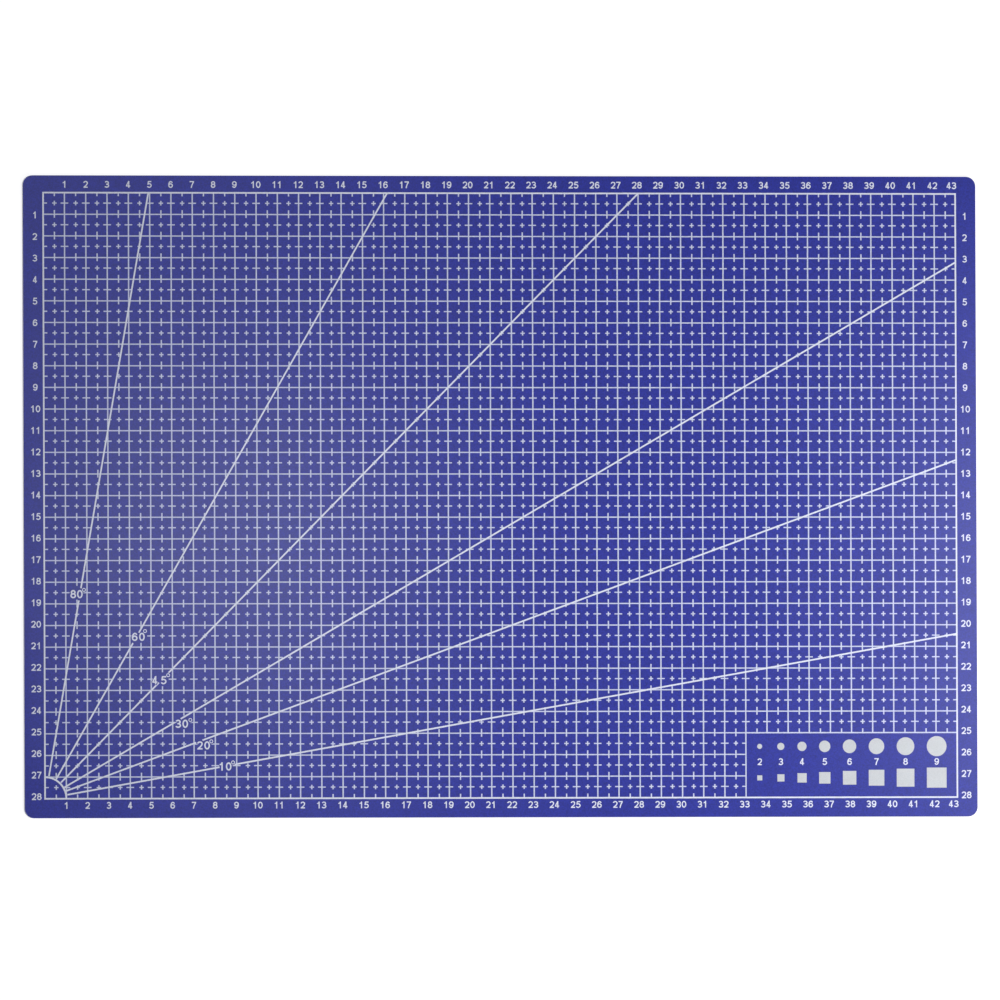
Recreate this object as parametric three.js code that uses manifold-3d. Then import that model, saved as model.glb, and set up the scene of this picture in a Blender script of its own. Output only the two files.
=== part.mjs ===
// Self-healing cutting mat in A3 size: five laminated plies with a measuring field printed on top.
// Millimetres, +Z up, +X along the long side. The origin is the middle of the underside.

import * as THREE from 'three';
import { mergeVertices } from 'three/addons/utils/BufferGeometryUtils.js';
import Module from 'manifold-3d';

const wasm = await Module();
wasm.setup();

// The laminated sheet
const MAT_LENGTH = 449;
const MAT_WIDTH = 297;
const CORNER_RADIUS = 4.5;
const CORNER_SEGMENTS = 8;
const SOFT_SHEET_THICKNESS = 0.75;
const TIE_SHEET_THICKNESS = 0.25;
const CORE_THICKNESS = 1;

// The printed field: a 43 x 28 cm frame, set a little off the middle of the mat
const INK_THICKNESS = 0.03;
const CENTIMETRE = 10;
const FIELD_LENGTH = 43 * CENTIMETRE;
const FIELD_WIDTH = 28 * CENTIMETRE;
const FIELD_OFFSET_X = -0.1;
const FIELD_OFFSET_Y = 0.5;
const FRAME_LINE = 0.75;
const PANEL_LINE = 0.6;
const RAY_LINE = 0.75;
const ARC_LINE = 0.85;

// The hole and punch gauge: a plain panel in the corner with discs and squares of 2 to 9 mm,
// each printed a little over its size, as the ink spreads
const PANEL_LENGTH = 10 * CENTIMETRE;
const PANEL_WIDTH = 3 * CENTIMETRE;
const GAUGE_SIZES = [2, 3, 4, 5, 6, 7, 8, 9];
const GAUGE_START = 6.5;
const GAUGE_PITCH = 10;
const GAUGE_GAP = 6.25;
const GAUGE_SPREAD = 0.35;
const DISC_ROW_HEIGHT = 23.65;
const SQUARE_ROW_HEIGHT = 9.05;
const DISC_SEGMENTS = 32;

// The protractor: a quarter arc in the corner, and rays broken where the angle is printed on them
const ARC_RADIUS = 10;
const ARC_SEGMENTS = 12;
const RAY_START = 10.6;
const RAYS = [
  { degrees: 80, breakStart: 93, breakEnd: 98.7 },
  { degrees: 60, breakStart: 83, breakEnd: 88.5 },
  { degrees: 45, breakStart: 75.8, breakEnd: 81.7 },
  { degrees: 30, breakStart: 70.3, breakEnd: 73.6 },
  { degrees: 20, breakStart: 75.5, breakEnd: 78.7 },
  { degrees: 10, breakStart: 83.2, breakEnd: 89.4 },
];

// How deep flat shapes are made while they are joined, and how much deeper each is than the last
const JOIN_DEPTH = 2;
const JOIN_STAGGER = 0.1;

// Worked out from the dimensions above
const MAT_THICKNESS = 2 * SOFT_SHEET_THICKNESS + 2 * TIE_SHEET_THICKNESS + CORE_THICKNESS;
const FIELD_LEFT = FIELD_OFFSET_X - FIELD_LENGTH / 2;
const FIELD_RIGHT = FIELD_OFFSET_X + FIELD_LENGTH / 2;
const FIELD_BOTTOM = FIELD_OFFSET_Y - FIELD_WIDTH / 2;
const FIELD_TOP = FIELD_OFFSET_Y + FIELD_WIDTH / 2;
const PANEL_LEFT = FIELD_RIGHT - PANEL_LENGTH;
const PANEL_TOP = FIELD_BOTTOM + PANEL_WIDTH;

const softPvc = new THREE.MeshStandardMaterial({ color: 0x3c4094, roughness: 0.6, metalness: 0 });
const tiePvc = new THREE.MeshStandardMaterial({ color: 0xd4d7e4, roughness: 0.6, metalness: 0 });
const corePvc = new THREE.MeshStandardMaterial({ color: 0xe9e8e2, roughness: 0.55, metalness: 0 });
const ink = new THREE.MeshStandardMaterial({ color: 0xd6dae0, roughness: 0.5, metalness: 0 });

function piece(name, geometry, material, height) {
  const mesh = new THREE.Mesh(geometry, material);
  mesh.name = name;
  mesh.position.z = height;
  return mesh;
}

function slab(shape, thickness, curveSegments = 1) {
  return new THREE.ExtrudeGeometry(shape, { depth: thickness, bevelEnabled: false, curveSegments });
}

function toSolid(geometry) {
  const bare = geometry.clone();
  bare.deleteAttribute('normal');
  bare.deleteAttribute('uv');
  const merged = mergeVertices(bare);
  return new wasm.Manifold(new wasm.Mesh({
    numProp: 3,
    vertProperties: merged.attributes.position.array,
    triVerts: new Uint32Array(merged.index.array),
  }));
}

// Joins flat shapes into one film. Each is first extruded to a depth of its own on both sides,
// so that no two faces lie in one plane while they are joined, and the film is then cut from the middle.
function joinFlat(shapes, thickness) {
  const tall = shapes.map(({ shape, segments = 1 }, index) => {
    const depth = JOIN_DEPTH + index * JOIN_STAGGER;
    return toSolid(slab(shape, depth, segments).translate(0, 0, -depth / 2));
  });
  const film = toSolid(slab(rectangle(-MAT_LENGTH, -MAT_WIDTH, MAT_LENGTH, MAT_WIDTH), thickness));
  const mesh = tall.reduce((whole, next) => whole.add(next)).intersect(film).getMesh();
  const geometry = new THREE.BufferGeometry();
  geometry.setAttribute('position', new THREE.BufferAttribute(mesh.vertProperties, 3));
  geometry.setIndex(new THREE.BufferAttribute(mesh.triVerts, 1));
  return geometry;
}

// Outlines

function matOutline() {
  const x = MAT_LENGTH / 2 - CORNER_RADIUS;
  const y = MAT_WIDTH / 2 - CORNER_RADIUS;
  const quarter = Math.PI / 2;
  const shape = new THREE.Shape();
  shape.absarc(x, -y, CORNER_RADIUS, -quarter, 0);
  shape.absarc(x, y, CORNER_RADIUS, 0, quarter);
  shape.absarc(-x, y, CORNER_RADIUS, quarter, 2 * quarter);
  shape.absarc(-x, -y, CORNER_RADIUS, 2 * quarter, 3 * quarter);
  shape.closePath();
  return shape;
}

function rectangle(left, bottom, right, top) {
  return new THREE.Shape([
    new THREE.Vector2(left, bottom),
    new THREE.Vector2(right, bottom),
    new THREE.Vector2(right, top),
    new THREE.Vector2(left, top),
  ]);
}

function square(x, y, side) {
  return rectangle(x - side / 2, y - side / 2, x + side / 2, y + side / 2);
}

function disc(x, y, diameter) {
  const shape = new THREE.Shape();
  shape.absarc(x, y, diameter / 2, 0, 2 * Math.PI);
  return shape;
}

// A printed line of the given width from one point to another
function line(from, to, width) {
  const side = to.clone().sub(from).normalize().rotateAround(new THREE.Vector2(), Math.PI / 2);
  side.multiplyScalar(width / 2);
  return new THREE.Shape([
    from.clone().sub(side),
    to.clone().sub(side),
    to.clone().add(side),
    from.clone().add(side),
  ]);
}

function arcBand(x, y, radius, width) {
  const shape = new THREE.Shape();
  shape.absarc(x, y, radius + width / 2, 0, Math.PI / 2);
  shape.absarc(x, y, radius - width / 2, Math.PI / 2, 0, true);
  shape.closePath();
  return shape;
}

function fieldFrame() {
  const half = FRAME_LINE / 2;
  const shape = rectangle(FIELD_LEFT - half, FIELD_BOTTOM - half, FIELD_RIGHT + half, FIELD_TOP + half);
  shape.holes.push(rectangle(FIELD_LEFT + half, FIELD_BOTTOM + half, FIELD_RIGHT - half, FIELD_TOP - half));
  return shape;
}

// Rays are measured from the field's lower left corner

function alongRay(degrees, distance) {
  const angle = THREE.MathUtils.degToRad(degrees);
  return new THREE.Vector2(
    FIELD_LEFT + distance * Math.cos(angle),
    FIELD_BOTTOM + distance * Math.sin(angle),
  );
}

function rayLength(degrees) {
  const angle = THREE.MathUtils.degToRad(degrees);
  return Math.min(FIELD_LENGTH / Math.cos(angle), FIELD_WIDTH / Math.sin(angle));
}

function innerRay({ degrees, breakStart }) {
  return line(alongRay(degrees, RAY_START), alongRay(degrees, breakStart), RAY_LINE);
}

function outerRay({ degrees, breakEnd }) {
  return line(alongRay(degrees, breakEnd), alongRay(degrees, rayLength(degrees)), RAY_LINE);
}

// The plies, from the bench up

const mat = new THREE.Group();

const plies = [
  { name: 'bottom_sheet', thickness: SOFT_SHEET_THICKNESS, material: softPvc },
  { name: 'lower_tie_sheet', thickness: TIE_SHEET_THICKNESS, material: tiePvc },
  { name: 'core_board', thickness: CORE_THICKNESS, material: corePvc },
  { name: 'upper_tie_sheet', thickness: TIE_SHEET_THICKNESS, material: tiePvc },
  { name: 'top_sheet', thickness: SOFT_SHEET_THICKNESS, material: softPvc },
];

let plyHeight = 0;
for (const { name, thickness, material } of plies) {
  mat.add(piece(name, slab(matOutline(), thickness, CORNER_SEGMENTS), material, plyHeight));
  plyHeight += thickness;
}

// The print, a thin film of ink on the top sheet

function addPrint(name, geometry) {
  mat.add(piece(name, geometry, ink, MAT_THICKNESS));
}

addPrint('printed_frame', joinFlat([
  { shape: fieldFrame() },
  { shape: rectangle(PANEL_LEFT, PANEL_TOP - PANEL_LINE / 2, FIELD_RIGHT, PANEL_TOP + PANEL_LINE / 2) },
  { shape: rectangle(PANEL_LEFT - PANEL_LINE / 2, FIELD_BOTTOM, PANEL_LEFT + PANEL_LINE / 2, PANEL_TOP) },
  { shape: arcBand(FIELD_LEFT, FIELD_BOTTOM, ARC_RADIUS, ARC_LINE), segments: ARC_SEGMENTS },
  ...RAYS.map((ray) => ({ shape: outerRay(ray) })),
], INK_THICKNESS));

for (const ray of RAYS) {
  addPrint(`printed_inner_ray_${ray.degrees}`, slab(innerRay(ray), INK_THICKNESS));
}

// Neighbouring gauge marks stand at least one pitch apart, and further where the marks are large
let gaugeX = PANEL_LEFT + GAUGE_START;
GAUGE_SIZES.forEach((size, index) => {
  if (index > 0) {
    gaugeX += Math.max(GAUGE_PITCH, (size + GAUGE_SIZES[index - 1]) / 2 + GAUGE_GAP);
  }
  const printed = size + GAUGE_SPREAD;
  const discShape = disc(gaugeX, FIELD_BOTTOM + DISC_ROW_HEIGHT, printed);
  const squareShape = square(gaugeX, FIELD_BOTTOM + SQUARE_ROW_HEIGHT, printed);
  addPrint(`gauge_disc_${size}mm`, slab(discShape, INK_THICKNESS, DISC_SEGMENTS));
  addPrint(`gauge_square_${size}mm`, slab(squareShape, INK_THICKNESS));
});

export default mat;
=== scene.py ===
"""Looks of the self healing cutting mat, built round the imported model.

The print is drawn flat, in millimetres from the lower left corner of the printed field, and then
becomes a thin film of ink on the top sheet. Everything else is in metres, in the frame of the
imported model.
"""

import math

import bpy
from mathutils import Matrix, Vector
from mathutils.geometry import delaunay_2d_cdt


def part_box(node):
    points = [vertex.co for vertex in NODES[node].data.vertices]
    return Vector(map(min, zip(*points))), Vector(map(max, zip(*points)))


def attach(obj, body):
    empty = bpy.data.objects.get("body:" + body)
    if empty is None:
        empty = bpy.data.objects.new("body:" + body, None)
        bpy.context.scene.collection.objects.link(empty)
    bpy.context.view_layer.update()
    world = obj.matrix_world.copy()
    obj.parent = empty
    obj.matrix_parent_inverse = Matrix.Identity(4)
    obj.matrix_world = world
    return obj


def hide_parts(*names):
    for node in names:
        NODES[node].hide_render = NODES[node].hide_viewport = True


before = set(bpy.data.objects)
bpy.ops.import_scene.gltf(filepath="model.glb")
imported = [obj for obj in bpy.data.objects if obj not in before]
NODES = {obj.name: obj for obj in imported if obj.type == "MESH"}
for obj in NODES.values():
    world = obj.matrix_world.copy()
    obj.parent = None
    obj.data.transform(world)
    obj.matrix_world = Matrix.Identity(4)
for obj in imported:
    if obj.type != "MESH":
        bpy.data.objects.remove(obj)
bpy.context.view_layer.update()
MM = 0.001

# The printed field, in millimetres
CM = 10.0
COLUMNS = 43
ROWS = 28
WIDTH = COLUMNS * CM
HEIGHT = ROWS * CM
FRAME_LINE = 0.75
UPRIGHT_LINE = 0.62
LEVEL_LINE = 0.55
BORDER_LINE = 0.6
RAY_LINE = 0.75
ARC_LINE = 0.85
PANEL_LEFT = 33 * CM
PANEL_TOP = 3 * CM
ARC_RADIUS = 10.0
RAY_START = 10.6
ARC_STEPS = 96

# The half centimetre marks, which are printed a little up and to the right of their true places
DASH_REACH = 1.8
CROSS_REACH = 1.05
MARKS_RIGHT = 0.27
MARKS_UP = 0.17

# Numerals: height, width, stroke and pitch from digit to digit
MARGIN_TYPE = {"height": 3.18, "width": 2.2, "stroke": 0.54, "pitch": 2.5}
LABEL_TYPE = {"height": 3.85, "width": 2.7, "stroke": 0.68, "pitch": 3.38}
NUMERAL_PITCH = 9.98
SIDE_NUMERAL_PITCH = 9.95
SIDE_NUMERAL_SHIFT = 0.4
LAST_NUMERAL_IN = 1.8
LAST_SIDE_NUMERAL_IN = 1.0
TOP_ROW_OUT = 3.85
BOTTOM_ROW_OUT = 3.1
LEFT_COLUMN_OUT = 3.95
RIGHT_COLUMN_OUT = 4.35
GAUGE_NUMERAL_HEIGHT = 16.55
GAUGE_SIZES = range(2, 10)

# Angle labels: the first digit's centre, any extra space between the digits, the degree ring's
# centre, and how far along the ray its gap for the label starts and ends. The grid stops short of
# each stroke of a label by HALO.
RING_RADIUS = 0.72
RING_STROKE = 0.36
RING_STEPS = 16
HALO = 0.32
LABELS = {
    80: {"at": (13.5, 94.5), "space": -0.25, "ring": (18.55, 96.45), "gap": (93.0, 98.7)},
    60: {"at": (42.3, 74.75), "space": 0.0, "ring": (47.15, 77.4), "gap": (83.0, 88.5)},
    45: {"at": (51.7, 54.7), "space": 0.75, "ring": (57.95, 57.0), "gap": (75.8, 81.7)},
    30: {"at": (62.6, 34.55), "space": -0.1, "ring": (68.3, 36.3), "gap": (70.3, 73.6)},
    20: {"at": (72.75, 24.55), "space": 0.0, "ring": (78.1, 26.4), "gap": (75.5, 78.7)},
    10: {"at": (82.85, 14.8), "space": 0.0, "ring": (88.3, 16.65), "gap": (83.2, 89.4)},
}

# Where the print lies on the mat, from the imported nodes
FRAME_LOW, FRAME_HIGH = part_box("printed_frame")
INK_BOTTOM, INK_TOP = FRAME_LOW.z, FRAME_HIGH.z
ORIGIN_X = FRAME_LOW.x + FRAME_LINE / 2 * MM
ORIGIN_Y = FRAME_LOW.y + FRAME_LINE / 2 * MM


# ---------------------------------------------------------------- materials


def new_material(name):
    """A material with its node tree, its Principled shader and the object coordinates in millimetres."""
    material = bpy.data.materials.new(name)
    material.use_nodes = True
    tree = material.node_tree
    shader = next(n for n in tree.nodes if n.type == "BSDF_PRINCIPLED")
    place = tree.nodes.new("ShaderNodeTexCoord")
    scale = tree.nodes.new("ShaderNodeVectorMath")
    scale.operation = "SCALE"
    scale.inputs["Scale"].default_value = 1 / MM
    tree.links.new(place.outputs["Object"], scale.inputs[0])
    return material, tree, shader, scale.outputs[0]


def noise(tree, place, size, detail, stretch=(1, 1, 1)):
    """Noise whose grains are about size millimetres across."""
    mapping = tree.nodes.new("ShaderNodeMapping")
    mapping.inputs["Scale"].default_value = [s / size for s in stretch]
    node = tree.nodes.new("ShaderNodeTexNoise")
    node.inputs["Scale"].default_value = 1.0
    node.inputs["Detail"].default_value = detail
    tree.links.new(place, mapping.inputs["Vector"])
    tree.links.new(mapping.outputs["Vector"], node.inputs["Vector"])
    return node.outputs["Fac"]


def ramp(tree, value, limits, colour_low, colour_high):
    """Turns a value from the low limit to the high one into a colour between the two given."""
    low, high = limits
    node = tree.nodes.new("ShaderNodeValToRGB")
    first, last = node.color_ramp.elements
    first.position, first.color = low, (*colour_low, 1)
    last.position, last.color = high, (*colour_high, 1)
    tree.links.new(value, node.inputs["Fac"])
    return node.outputs["Color"]


def multiply(tree, colour_a, colour_b):
    node = tree.nodes.new("ShaderNodeMix")
    node.data_type = "RGBA"
    node.blend_type = "MULTIPLY"
    sockets = {s.identifier: s for s in node.inputs}
    sockets["Factor_Float"].default_value = 1.0
    tree.links.new(colour_a, sockets["A_Color"])
    tree.links.new(colour_b, sockets["B_Color"])
    return next(s for s in node.outputs if s.identifier == "Result_Color")


def spread(tree, value, limits):
    """Spreads a value from 0 to 1 over the range from the low limit to the high one."""
    node = tree.nodes.new("ShaderNodeMapRange")
    node.inputs["To Min"].default_value, node.inputs["To Max"].default_value = limits
    tree.links.new(value, node.inputs["Value"])
    return node.outputs["Result"]


def add_bump(tree, shader, heights):
    """Bumps the shader with (height, depth in millimetres) pairs."""
    normal = None
    for height, depth in heights:
        node = tree.nodes.new("ShaderNodeBump")
        node.inputs["Distance"].default_value = depth * MM
        tree.links.new(height, node.inputs["Height"])
        if normal is not None:
            tree.links.new(normal, node.inputs["Normal"])
        normal = node.outputs["Normal"]
    tree.links.new(normal, shader.inputs["Normal"])


def scaled(colour, factor):
    return tuple(c * factor for c in colour)


BLUE = (0.0170, 0.0272, 0.346)
INK_GREY = (0.635, 0.660, 0.700)
INK_WHITE = (0.79, 0.82, 0.97)
INK_THIN = (0.64, 0.685, 0.90)
CORE_WHITE = (0.80, 0.79, 0.74)
TIE_GREY = (0.60, 0.62, 0.72)

# The part of a noise's range that a ramp spreads its two colours over
WIDE = (0.3, 0.7)
NARROW = (0.35, 0.65)

# Sizes and depths of the grains and score lines, in millimetres
PIGMENT_SIZE = 0.65
CLOUD_SIZE = 38
GLOSS_SIZE = 1.1
GRAIN_SIZE = 0.42
GRAIN_DEPTH = 0.006
RIPPLE_SIZE = 9
RIPPLE_DEPTH = 0.02
EDGE_SCORE_SIZE = 0.35
EDGE_SCORE_DEPTH = 0.03
PLY_SCORE_SIZE = 0.3
PLY_SCORE_DEPTH = 0.025
MOTTLE_SIZE = 0.45
PATCH_SIZE = 6

SHEET_ROUGHNESS = (0.34, 0.42)
SHEET_IOR = 1.56
EDGE_ROUGHNESS = 0.62
CORE_ROUGHNESS = 0.5
TIE_ROUGHNESS = 0.6
INK_ROUGHNESS = 0.5


def sheet_material():
    """Soft blue PVC with a fine embossed matt grain."""
    material, tree, shader, place = new_material("soft_pvc")
    specks = noise(tree, place, PIGMENT_SIZE, 3)
    pigment = ramp(tree, specks, WIDE, scaled(BLUE, 0.7), scaled(BLUE, 1.3))
    cloud = ramp(tree, noise(tree, place, CLOUD_SIZE, 3), NARROW, (0.955, 0.955, 0.965), (1, 1, 1))
    tree.links.new(multiply(tree, pigment, cloud), shader.inputs["Base Color"])
    roughness = spread(tree, noise(tree, place, GLOSS_SIZE, 2), SHEET_ROUGHNESS)
    tree.links.new(roughness, shader.inputs["Roughness"])
    shader.inputs["IOR"].default_value = SHEET_IOR
    grain = noise(tree, place, GRAIN_SIZE, 2)
    ripple = noise(tree, place, RIPPLE_SIZE, 1)
    add_bump(tree, shader, [(ripple, RIPPLE_DEPTH), (grain, GRAIN_DEPTH)])
    return material


def cut_edge_material():
    """The same PVC where the cutting die went through it: duller, and scored from top to bottom."""
    material, tree, shader, place = new_material("soft_pvc_cut_edge")
    score = noise(tree, place, EDGE_SCORE_SIZE, 3, stretch=(1, 1, 0.12))
    colour = ramp(tree, score, WIDE, scaled(BLUE, 0.85), scaled(BLUE, 1.25))
    tree.links.new(colour, shader.inputs["Base Color"])
    shader.inputs["Roughness"].default_value = EDGE_ROUGHNESS
    add_bump(tree, shader, [(score, EDGE_SCORE_DEPTH)])
    return material


def pale_pvc_material(name, colour, roughness):
    """The inner plies, seen only at the cut edge, with the die's score lines."""
    material, tree, shader, place = new_material(name)
    score = noise(tree, place, PLY_SCORE_SIZE, 3, stretch=(1, 1, 0.15))
    shade = ramp(tree, score, WIDE, scaled(colour, 0.9), colour)
    tree.links.new(shade, shader.inputs["Base Color"])
    shader.inputs["Roughness"].default_value = roughness
    add_bump(tree, shader, [(score, PLY_SCORE_DEPTH)])
    return material


def ink_material(name, colour):
    """Pale screen printed ink, with the faint mottle of the mesh it was pressed through."""
    material, tree, shader, place = new_material(name)
    specks = noise(tree, place, MOTTLE_SIZE, 2)
    mottle = ramp(tree, specks, NARROW, scaled(colour, 0.95), scaled(colour, 1.04))
    patch = ramp(tree, noise(tree, place, PATCH_SIZE, 2), NARROW, (0.965, 0.965, 0.965), (1, 1, 1))
    tree.links.new(multiply(tree, mottle, patch), shader.inputs["Base Color"])
    shader.inputs["Roughness"].default_value = INK_ROUGHNESS
    return material


SHEET = sheet_material()
CUT_EDGE = cut_edge_material()
CORE = pale_pvc_material("core_pvc", CORE_WHITE, CORE_ROUGHNESS)
TIE = pale_pvc_material("tie_pvc", TIE_GREY, TIE_ROUGHNESS)
FILL_INK = ink_material("ink_of_fills", INK_GREY)
BOLD_INK = ink_material("ink_of_bold_lines", INK_WHITE)
THIN_INK = ink_material("ink_of_thin_lines", INK_THIN)


# ---------------------------------------------------------------- flat shapes, in millimetres

# How far a corner of a stroke may reach, in half widths, and how many steps a curve has
MITRE_LIMIT = 2
CURVE_STEPS = 6


def rectangle(left, bottom, right, top):
    return [(left, bottom), (right, bottom), (right, top), (left, top)]


def stroke(points, width, start=0.0, end=0.0, closed=False):
    """The triangles of a line of that width along the points. start and end lengthen it, in widths."""
    path = [Vector(p) for p in points]
    if not closed:
        path[0] = path[0] + (path[0] - path[1]).normalized() * start * width
        path[-1] = path[-1] + (path[-1] - path[-2]).normalized() * end * width
    count = len(path)
    sides = []
    for i, point in enumerate(path):
        before = path[i - 1] if closed or i > 0 else None
        after = path[(i + 1) % count] if closed or i < count - 1 else None
        back = (point - before).normalized() if before is not None else None
        ahead = (after - point).normalized() if after is not None else None
        along = ((back or ahead) + (ahead or back)).normalized()
        mitre = 1 / max(1 / MITRE_LIMIT, along.dot(back or ahead))
        sides.append(Vector((-along.y, along.x)) * width / 2 * mitre)
    triangles = []
    for i in range(count if closed else count - 1):
        j = (i + 1) % count
        right, far_right = path[i] - sides[i], path[j] - sides[j]
        left, far_left = path[i] + sides[i], path[j] + sides[j]
        triangles.append([right, far_right, far_left])
        triangles.append([right, far_left, left])
    return triangles


def oval(x, y, reach_x, reach_y, start=0, end=360, steps=24):
    """Points of an oval or of a stretch of it, with steps to the full turn."""
    count = max(2, round(abs(end - start) / 360 * steps))
    whole = abs(end - start) == 360
    angles = [math.radians(start + (end - start) * i / count) for i in range(count + (not whole))]
    return [(x + reach_x * math.cos(a), y + reach_y * math.sin(a)) for a in angles]


def bend(start, pull, end):
    """Points of a curve from start to end, pulled towards a third point."""
    points = []
    for i in range(CURVE_STEPS + 1):
        t = i / CURVE_STEPS
        weighted = list(zip(((1 - t) ** 2, 2 * t * (1 - t), t * t), (start, pull, end)))
        points.append(tuple(sum(w * p[axis] for w, p in weighted) for axis in (0, 1)))
    return points


def turned(strokes):
    """The strokes of a digit turned upside down."""
    return [{**s, "points": [(1 - x, 1 - y) for x, y in s["points"]]} for s in strokes]


def open_stroke(points, start=0.0, end=0.0, weight=1.0):
    return {"points": points, "start": start, "end": end, "weight": weight, "closed": False}


def ring_stroke(x, y, reach_x, reach_y):
    return {"points": oval(x, y, reach_x, reach_y), "start": 0, "end": 0, "weight": 1.0, "closed": True}


# The middle lines of each digit's strokes, in a box from 0 to 1 both ways. A stroke with a square
# end goes past its last point by SQUARE of its width.
SQUARE = 0.5
SIX = [
    ring_stroke(0.5, 0.3, 0.5, 0.3),
    open_stroke(oval(0.55, 0.45, 0.55, 0.55, 38, 180) + [(0.0, 0.3)]),
]
DIGITS = {
    "0": [ring_stroke(0.5, 0.5, 0.5, 0.5)],
    "1": [
        open_stroke([(0.62, 1), (0.62, 0)], SQUARE, SQUARE),
        open_stroke(bend((0.6, 1.0), (0.45, 0.8), (0.06, 0.74)), 0, 0, 0.85),
    ],
    "2": [
        open_stroke(oval(0.5, 0.72, 0.5, 0.28, 170, -30) + bend((0.86, 0.5), (0.7, 0.32), (0.1, 0.04))),
        open_stroke([(0.06, 0), (0.94, 0)], SQUARE, SQUARE),
    ],
    "3": [
        open_stroke(oval(0.47, 0.755, 0.46, 0.245, 158, -90) + [(0.3, 0.51)]),
        open_stroke([(0.3, 0.51)] + oval(0.47, 0.255, 0.53, 0.255, 90, -158)),
    ],
    "4": [
        open_stroke([(0.68, 1), (0.68, 0)], SQUARE, SQUARE),
        open_stroke([(0.62, 0.98), (0.03, 0.27)], 0.2, 0.2, 0.9),
        open_stroke([(0.0, 0.22), (1.0, 0.22)], 0.3, 0.3, 0.9),
    ],
    "5": [
        open_stroke([(0.9, 1), (0.2, 1)], SQUARE, 0.3),
        open_stroke([(0.21, 1), (0.1, 0.5)], 0, 0.1, 0.95),
        open_stroke(oval(0.46, 0.31, 0.54, 0.31, 142, -156)),
    ],
    "6": SIX,
    "7": [
        open_stroke([(0.05, 1), (0.95, 1)], SQUARE, SQUARE),
        open_stroke(bend((1.0, 0.96), (0.5, 0.5), (0.36, 0)), 0, SQUARE),
    ],
    "8": [ring_stroke(0.5, 0.765, 0.42, 0.235), ring_stroke(0.5, 0.27, 0.5, 0.27)],
    "9": turned(SIX),
}


def digit_shapes(digit, style, x, y, grow=0.0):
    """Flat shapes of one digit centred on (x, y).

    grow widens each stroke on both sides, and fills the rings.
    """
    inner_width = style["width"] - style["stroke"]
    inner_height = style["height"] - style["stroke"]
    shapes = []
    for part in DIGITS[digit]:
        points = [
            (x + (px - 0.5) * inner_width, y + (py - 0.5) * inner_height)
            for px, py in part["points"]
        ]
        width = style["stroke"] * part["weight"]
        grown = width + 2 * grow
        reach = grow / grown
        start = part["start"] * width / grown + reach
        end = part["end"] * width / grown + reach
        shapes += stroke(points, grown, start, end, part["closed"])
        if grow and part["closed"]:
            shapes.append(points)
    return shapes


def label_shapes(degrees, grow=0.0):
    """Flat shapes of an angle label with its degree ring."""
    label = LABELS[degrees]
    x, y = label["at"]
    second = x + LABEL_TYPE["pitch"] + label["space"]
    shapes = []
    for digit, place in zip(str(degrees), (x, second)):
        shapes += digit_shapes(digit, LABEL_TYPE, place, y, grow)
    ring = oval(*label["ring"], RING_RADIUS, RING_RADIUS, steps=RING_STEPS)
    shapes += stroke(ring, RING_STROKE + 2 * grow, closed=True)
    if grow:
        shapes.append(ring)
    return shapes


# ---------------------------------------------------------------- films of ink

# Points this close, in millimetres, are taken as one, and a shape this small, in square
# millimetres, as none
SAME_POINT = 1e-5
NO_AREA = 1e-4


def area(shape):
    """Area of a flat shape, below zero if its points run clockwise."""
    return sum(a[0] * b[1] - b[0] * a[1] for a, b in zip(shape, [*shape[1:], shape[0]])) / 2


def film(thin, bold=(), cutouts=()):
    """Joins flat shapes of thin and bold ink and takes the cutouts away.

    Returns the points, the triangles that are left, and for each triangle whether its ink is bold.
    """
    kinds = (thin, bold, cutouts)
    thin, bold, cutouts = [[s for s in kind if abs(area(s)) > NO_AREA] for kind in kinds]
    points, faces = [], []
    for shape in thin + bold + cutouts:
        run = range(len(points), len(points) + len(shape))
        faces.append(list(run) if area(shape) > 0 else list(reversed(run)))
        points += [Vector(p) for p in shape]
    points, _, triangles, _, _, sources = delaunay_2d_cdt(points, [], faces, 4, SAME_POINT, True)
    uppermost = [max(source, default=len(faces)) for source in sources]
    inked = [i for i, source in enumerate(uppermost) if source < len(thin) + len(bold)]
    return points, [triangles[i] for i in inked], [uppermost[i] >= len(thin) for i in inked]


def outline_of(triangles):
    """The directed edges that only one triangle has."""
    edges = {(t[i], t[(i + 1) % len(t)]) for t in triangles for i in range(len(t))}
    return [(a, b) for a, b in edges if (b, a) not in edges]


def ink_piece(name, parts, nodes=()):
    """Makes one piece of ink from parts, each a film of ink and the place (x, y) it is moved to."""
    vertices, faces, inks = [], [], []
    for (points, triangles, bold), x, y in parts:
        used = sorted({i for t in triangles for i in t})
        low = {index: len(vertices) + n for n, index in enumerate(used)}
        high = {index: len(vertices) + len(used) + n for n, index in enumerate(used)}
        for z in (INK_BOTTOM, INK_TOP):
            for index in used:
                point = points[index]
                vertices.append((ORIGIN_X + (point[0] + x) * MM, ORIGIN_Y + (point[1] + y) * MM, z))
        faces += [[high[i] for i in t] for t in triangles]
        faces += [[low[i] for i in reversed(t)] for t in triangles]
        walls = [[low[a], low[b], high[b], high[a]] for a, b in sorted(outline_of(triangles))]
        faces += walls
        inks += [*bold, *bold] + [False] * len(walls)
    mesh = bpy.data.meshes.new(name)
    mesh.from_pydata(vertices, [], faces)
    mesh.materials.append(THIN_INK)
    mesh.materials.append(BOLD_INK)
    mesh.polygons.foreach_set("material_index", inks)
    mesh.validate()
    piece = bpy.data.objects.new(name, mesh)
    bpy.context.scene.collection.objects.link(piece)
    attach(piece, "root")
    if nodes:
        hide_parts(*nodes)


# ---------------------------------------------------------------- the print


def in_panel(x, y):
    return x > PANEL_LEFT and y < PANEL_TOP


def upright(x, bottom, top, width=UPRIGHT_LINE):
    return rectangle(x - width / 2, bottom, x + width / 2, top)


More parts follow.
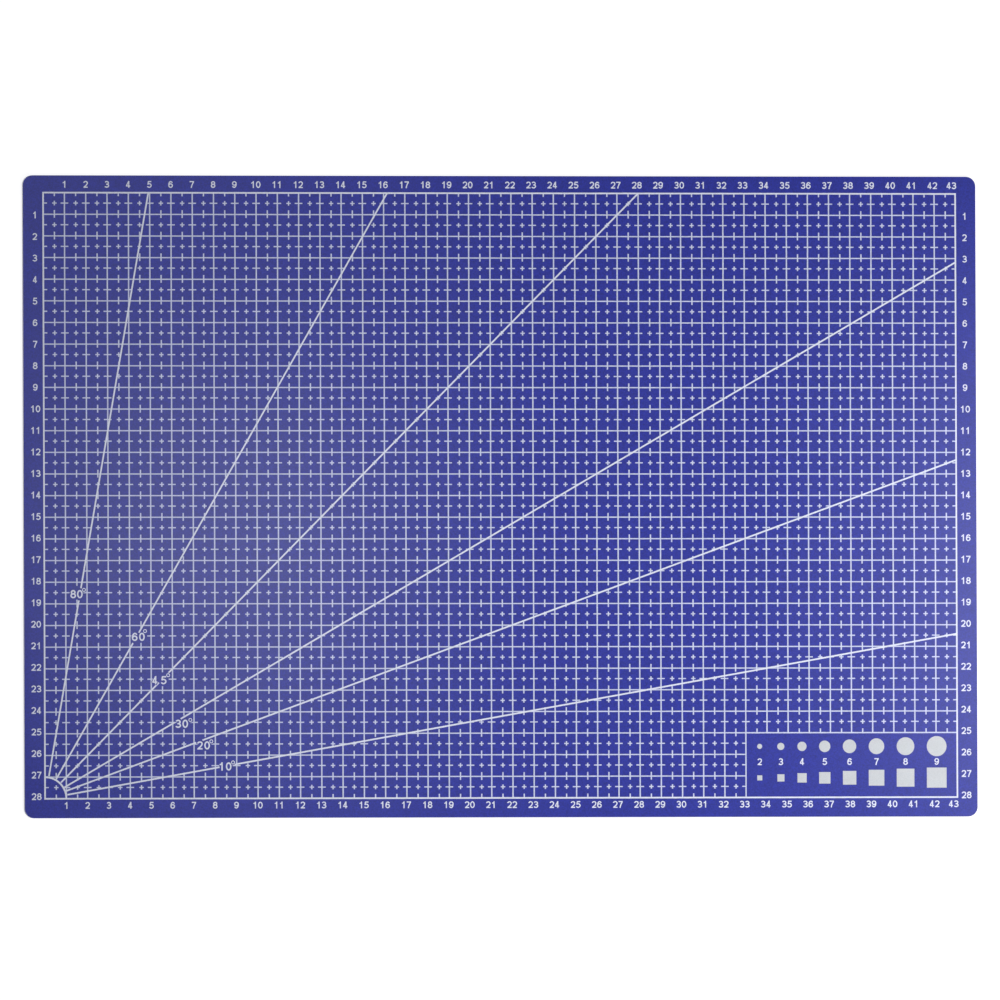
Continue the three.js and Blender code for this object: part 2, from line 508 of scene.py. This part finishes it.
def level(y, left, right, width=LEVEL_LINE):
    return rectangle(left, y - width / 2, right, y + width / 2)


def frame_shapes():
    """The frame round the field."""
    half = FRAME_LINE / 2
    return [
        level(0, -half, WIDTH + half, FRAME_LINE),
        level(HEIGHT, -half, WIDTH + half, FRAME_LINE),
        upright(0, -half, HEIGHT + half, FRAME_LINE),
        upright(WIDTH, -half, HEIGHT + half, FRAME_LINE),
    ]


def grid_shapes():
    """The gauge panel's border, the centimetre lines, and the half centimetre dashes across them."""
    shapes = [
        upright(PANEL_LEFT, 0, PANEL_TOP, BORDER_LINE),
        level(PANEL_TOP, PANEL_LEFT - BORDER_LINE / 2, WIDTH, BORDER_LINE),
    ]
    for column in range(COLUMNS + 1):
        x = column * CM
        foot = PANEL_TOP if x >= PANEL_LEFT else 0
        if 0 < column < COLUMNS:
            shapes.append(upright(x, foot, HEIGHT))
        for row in range(ROWS):
            y = (row + 0.5) * CM + MARKS_UP
            if in_panel(x, y):
                continue
            left = max(0, x - DASH_REACH)
            right = min(WIDTH, x + DASH_REACH)
            if in_panel(right, y):
                right = x
            shapes.append(level(y, left, right))
    for row in range(ROWS + 1):
        y = row * CM
        end = PANEL_LEFT if y <= PANEL_TOP else WIDTH
        if 0 < row < ROWS:
            shapes.append(level(y, 0, end))
        for column in range(COLUMNS):
            x = (column + 0.5) * CM + MARKS_RIGHT
            if in_panel(x, y):
                continue
            bottom = max(0, y + MARKS_UP - DASH_REACH)
            top = min(HEIGHT, y + MARKS_UP + DASH_REACH)
            if in_panel(x, bottom):
                bottom = y
            shapes.append(upright(x, bottom, top))
    return shapes


def protractor_shapes():
    """The quarter arc in the corner and the six rays from it, each with a gap for its label."""
    shapes = stroke(oval(0, 0, ARC_RADIUS, ARC_RADIUS, 0, 90, steps=ARC_STEPS), ARC_LINE)
    for degrees, label in LABELS.items():
        angle = math.radians(degrees)
        length = min(WIDTH / math.cos(angle), HEIGHT / math.sin(angle))
        gap_start, gap_end = label["gap"]
        for start, end in ((RAY_START, gap_start), (gap_end, length)):
            ends = [(r * math.cos(angle), r * math.sin(angle)) for r in (start, end)]
            shapes += stroke(ends, RAY_LINE)
    return shapes


def label_covers(x, y):
    """True where an angle label is printed, so that the small cross there is left out."""
    aside = LABEL_TYPE["width"] / 2 + CROSS_REACH
    above = LABEL_TYPE["height"] / 2 + CROSS_REACH
    for label in LABELS.values():
        left, middle = label["at"]
        right = left + LABEL_TYPE["pitch"] + label["space"]
        if left - aside < x < right + aside and abs(y - middle) < above:
            return True
    return False


def on_ray(x, y):
    """True where the small cross centred on (x, y) touches a ray."""
    reach = CROSS_REACH + RAY_LINE
    angles = [math.radians(degrees) for degrees in LABELS]
    return any(abs(x * math.sin(angle) - y * math.cos(angle)) < reach for angle in angles)


def cross_shapes(x, y):
    return [level(y, x - CROSS_REACH, x + CROSS_REACH), upright(x, y - CROSS_REACH, y + CROSS_REACH)]


def print_lines_and_crosses():
    """The grid with its rays, and the small cross in every square.

    A cross that a ray touches is joined to it, and so belongs to the grid.
    """
    across = [(column + 0.5) * CM + MARKS_RIGHT for column in range(COLUMNS)]
    down = [(row + 0.5) * CM + MARKS_UP for row in range(ROWS)]
    middles = [(x, y) for x in across for y in down]
    crosses = [(x, y) for x, y in middles if not in_panel(x, y) and not label_covers(x, y)]
    joined = [shape for x, y in crosses if on_ray(x, y) for shape in cross_shapes(x, y)]
    halos = [shape for degrees in LABELS for shape in label_shapes(degrees, HALO)]
    lines = film(grid_shapes() + joined, frame_shapes() + protractor_shapes(), halos)
    replaced = ["printed_frame"] + [f"printed_inner_ray_{degrees}" for degrees in LABELS]
    ink_piece("print_grid", [(lines, 0, 0)], replaced)
    cross = film(cross_shapes(0, 0))
    ink_piece("print_crosses", [(cross, x, y) for x, y in crosses if not on_ray(x, y)])


def print_numbers(name, places):
    """One piece of ink with a number at each (number, x, y)."""
    drawn = {}
    parts = []
    for number, x, y in places:
        text = str(number)
        first = x - (len(text) - 1) * MARGIN_TYPE["pitch"] / 2
        for i, digit in enumerate(text):
            if digit not in drawn:
                drawn[digit] = film([], digit_shapes(digit, MARGIN_TYPE, 0, 0))
            parts.append((drawn[digit], first + i * MARGIN_TYPE["pitch"], y))
    ink_piece(name, parts)


def numeral_places(last, pitch, shift, pulled_in):
    """How far along its margin each numeral is centred. The last is pulled in from the corner."""
    places = [(number, number * pitch + shift) for number in range(1, last)]
    return places + [(last, last * CM - pulled_in)]


def print_margins():
    along = numeral_places(COLUMNS, NUMERAL_PITCH, 0, LAST_NUMERAL_IN)
    down = numeral_places(ROWS, SIDE_NUMERAL_PITCH, SIDE_NUMERAL_SHIFT, LAST_SIDE_NUMERAL_IN)
    down = [(number, HEIGHT - place) for number, place in down]
    print_numbers("print_numerals_top", [(n, x, HEIGHT + TOP_ROW_OUT) for n, x in along])
    print_numbers("print_numerals_bottom", [(n, x, -BOTTOM_ROW_OUT) for n, x in along])
    print_numbers("print_numerals_left", [(n, -LEFT_COLUMN_OUT, y) for n, y in down])
    print_numbers("print_numerals_right", [(n, WIDTH + RIGHT_COLUMN_OUT, y) for n, y in down])


def print_gauge_numerals():
    places = []
    for size in GAUGE_SIZES:
        low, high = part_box(f"gauge_disc_{size}mm")
        places.append((size, ((low.x + high.x) / 2 - ORIGIN_X) / MM, GAUGE_NUMERAL_HEIGHT))
    print_numbers("print_gauge_numerals", places)


def print_labels():
    for degrees in LABELS:
        ink_piece(f"print_label_{degrees}", [(film([], label_shapes(degrees)), 0, 0)])


# ---------------------------------------------------------------- the sheets

CORNER_RADIUS = 4.5 * MM
EDGE_ROUND = 0.18 * MM
CORNER_STEPS = 16
ROUND_STEPS = 5

# The straight side and this many steps of the rounding have the look of a cut edge
CUT_ROUND_STEPS = 2


def sheet_outline(low, high, inset):
    """Points round the mat's outline, pulled in by inset."""
    radius = CORNER_RADIUS - inset
    points = []
    corners = ((high.x, low.y, -90), (high.x, high.y, 0), (low.x, high.y, 90), (low.x, low.y, 180))
    for x, y, start in corners:
        centre_x = x - math.copysign(CORNER_RADIUS, x)
        centre_y = y - math.copysign(CORNER_RADIUS, y)
        for i in range(CORNER_STEPS + 1):
            angle = math.radians(start + 90 * i / CORNER_STEPS)
            points.append((centre_x + radius * math.cos(angle), centre_y + radius * math.sin(angle)))
    return points


def make_sheet(name, node, rounded_top):
    """A soft outer sheet, with the edge of its outer face slightly rounded by the cutting die."""
    low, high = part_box(node)
    outer, inner = (high.z, low.z) if rounded_top else (low.z, high.z)
    rise = 1 if rounded_top else -1
    rings = [(0.0, inner)]
    for i in range(ROUND_STEPS + 1):
        angle = math.radians(90 * i / ROUND_STEPS)
        inset = EDGE_ROUND * (1 - math.cos(angle))
        rings.append((inset, outer - rise * EDGE_ROUND * (1 - math.sin(angle))))
    vertices, faces = [], []
    for inset, z in rings:
        vertices += [(x, y, z) for x, y in sheet_outline(low, high, inset)]
    count = len(vertices) // len(rings)
    for ring in range(len(rings) - 1):
        for i in range(count):
            j = (i + 1) % count
            here, there = ring * count, (ring + 1) * count
            faces.append([here + i, here + j, there + j, there + i])
    sides = len(faces)
    last = (len(rings) - 1) * count
    faces.append([last + i for i in range(count)])
    faces.append(list(reversed(range(count))))
    if not rounded_top:
        faces = [list(reversed(f)) for f in faces]
    mesh = bpy.data.meshes.new(name)
    mesh.from_pydata(vertices, [], faces)
    mesh.materials.append(SHEET)
    mesh.materials.append(CUT_EDGE)
    cut = count * (1 + CUT_ROUND_STEPS)
    for index, polygon in enumerate(mesh.polygons):
        polygon.use_smooth = count <= index < sides
        polygon.material_index = 1 if index < cut else 0
    sheet = bpy.data.objects.new(name, mesh)
    bpy.context.scene.collection.objects.link(sheet)
    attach(sheet, "root")
    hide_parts(node)


def dress_node(node, material):
    """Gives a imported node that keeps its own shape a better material."""
    NODES[node].data.materials.clear()
    NODES[node].data.materials.append(material)


make_sheet("bottom_sheet_skin", "bottom_sheet", rounded_top=False)
make_sheet("top_sheet_skin", "top_sheet", rounded_top=True)
dress_node("core_board", CORE)
dress_node("lower_tie_sheet", TIE)
dress_node("upper_tie_sheet", TIE)
for node in NODES:
    if node.startswith("gauge_"):
        dress_node(node, FILL_INK)

print_lines_and_crosses()
print_margins()
print_gauge_numerals()
print_labels()


# ---------------------------------------------------------------- stage, light and camera

FLOOR_SIZE = 120.0
FLOOR_GAP = 0.01 * MM
FLOOR_GREY = 0.35
FLOOR_ROUGHNESS = 0.9
FLOOR_GLOW = 0.88
WORLD_GLOW = 0.12

# The camera leans from straight above towards -X, turned a little towards -Y, and is rolled a
# little. Lens and sensor are in millimetres, and the field is the width seen at the mat, in metres.
VIEW_LEAN = math.radians(10.87)
VIEW_TURN = math.radians(5.4)
VIEW_ROLL = math.radians(-0.11)
VIEW_LENS = 1200.0
VIEW_SENSOR = 36.0
VIEW_FIELD = 0.463
VIEW_CLIP = (0.1, 100.0)
VIEW_TARGET = Vector((-0.00075, -0.00156, INK_TOP))


def make_floor():
    """A pale floor that also glows a little, so that it stays nearly white away from the lights."""
    half = FLOOR_SIZE / 2
    mesh = bpy.data.meshes.new("floor")
    corners = [(-half, -half, 0), (half, -half, 0), (half, half, 0), (-half, half, 0)]
    mesh.from_pydata(corners, [], [(0, 1, 2, 3)])
    floor = bpy.data.objects.new("floor", mesh)
    floor.location.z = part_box("bottom_sheet")[0].z - FLOOR_GAP
    bpy.context.scene.collection.objects.link(floor)
    material = bpy.data.materials.new("floor")
    material.use_nodes = True
    shader = next(n for n in material.node_tree.nodes if n.type == "BSDF_PRINCIPLED")
    shader.inputs["Base Color"].default_value = (FLOOR_GREY, FLOOR_GREY, FLOOR_GREY, 1)
    shader.inputs["Roughness"].default_value = FLOOR_ROUGHNESS
    shader.inputs["Specular IOR Level"].default_value = 0.0
    shader.inputs["Emission Color"].default_value = (1, 1, 1, 1)
    shader.inputs["Emission Strength"].default_value = FLOOR_GLOW
    mesh.materials.append(material)


def make_world():
    world = bpy.data.worlds.new("studio")
    bpy.context.scene.world = world
    world.use_nodes = True
    background = next(n for n in world.node_tree.nodes if n.type == "BACKGROUND")
    background.inputs["Color"].default_value = (1, 1, 1, 1)
    background.inputs["Strength"].default_value = WORLD_GLOW


def area_light(name, place, aim, size, watts):
    """A square softbox that the camera itself doesn't see."""
    data = bpy.data.lights.new(name, "AREA")
    data.size = size
    data.energy = watts
    light = bpy.data.objects.new(name, data)
    light.location = place
    light.rotation_euler = (Vector(aim) - Vector(place)).to_track_quat("-Z", "Y").to_euler()
    light.visible_camera = False
    bpy.context.scene.collection.objects.link(light)


def make_camera():
    data = bpy.data.cameras.new("view")
    data.lens = VIEW_LENS
    data.sensor_width = VIEW_SENSOR
    data.clip_start, data.clip_end = VIEW_CLIP
    distance = VIEW_FIELD * VIEW_LENS / VIEW_SENSOR
    camera = bpy.data.objects.new("view", data)
    turn = Matrix.Rotation(VIEW_TURN, 3, "Z")
    lean = Matrix.Rotation(-VIEW_LEAN, 3, "Y")
    roll = Matrix.Rotation(VIEW_ROLL, 3, "Z")
    aim = turn @ lean @ turn.inverted() @ roll
    camera.rotation_euler = aim.to_euler()
    camera.location = VIEW_TARGET + aim.col[2] * distance
    bpy.context.scene.collection.objects.link(camera)
    bpy.context.scene.camera = camera


make_floor()
make_world()
area_light("key_box", place=(0.123, -0.533, 0.528), aim=(0, 0, 0), size=0.4, watts=2.076)
area_light("side_box", place=(0.408, -0.040, 0.325), aim=(0.1, 0, 0), size=0.2, watts=1.034)
area_light("overhead_box", place=(-0.060, -0.025, 0.360), aim=(-0.05, 0, 0), size=0.14, watts=0.226)
area_light("fill_box", place=(-0.142, 0.232, 0.535), aim=(0, 0, 0), size=0.4, watts=0.417)
make_camera()
bpy.context.scene.view_settings.view_transform = "Standard"
